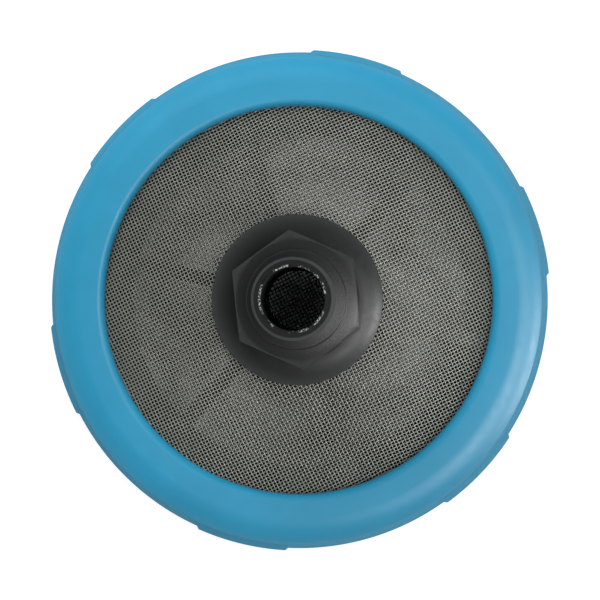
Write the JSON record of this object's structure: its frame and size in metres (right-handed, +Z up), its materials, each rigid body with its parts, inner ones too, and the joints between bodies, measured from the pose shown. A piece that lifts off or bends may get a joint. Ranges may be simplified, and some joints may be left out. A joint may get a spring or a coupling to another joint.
{
  "type": "pressure washer inlet strainer",
  "caption": "Round suction strainer: a woven steel cone clamped in a moulded collar with grip lands, and a domed hub with a hexagonal barbed hose tail.",
  "frame": {"origin": "on the floor at the centre of the base ring, on the strainer's axis", "axes": "+Z up along the hose tail, away from the base; +X is 16.5 degrees clockwise of the first grip land's middle"},
  "size_m": [0.1372, 0.1378, 0.0843],
  "materials": {
    "blue_polypropylene": "satin moulded",
    "black_polypropylene": "satin moulded",
    "woven_stainless": "plain weave",
    "folded_stainless": "pressed",
    "black_rubber": "matt"
  },
  "bodies": {
    "root": {"rim_collar": "blue_polypropylene", "base_ring": "black_polypropylene", "support_spider": "black_polypropylene", "hub_flange": "black_polypropylene", "hub_nut": "black_polypropylene", "hose_tail": "black_polypropylene", "upper_mesh": "woven_stainless", "lower_mesh": "woven_stainless", "upper_mesh_binding": "folded_stainless", "lower_mesh_binding": "folded_stainless", "mesh_eyelet": "folded_stainless", "hub_washer": "folded_stainless", "rim_gasket": "black_rubber", "base_gasket": "black_rubber", "hub_seal": "black_rubber", "tail_seal": "black_rubber"}
  },
  "joints": []
}
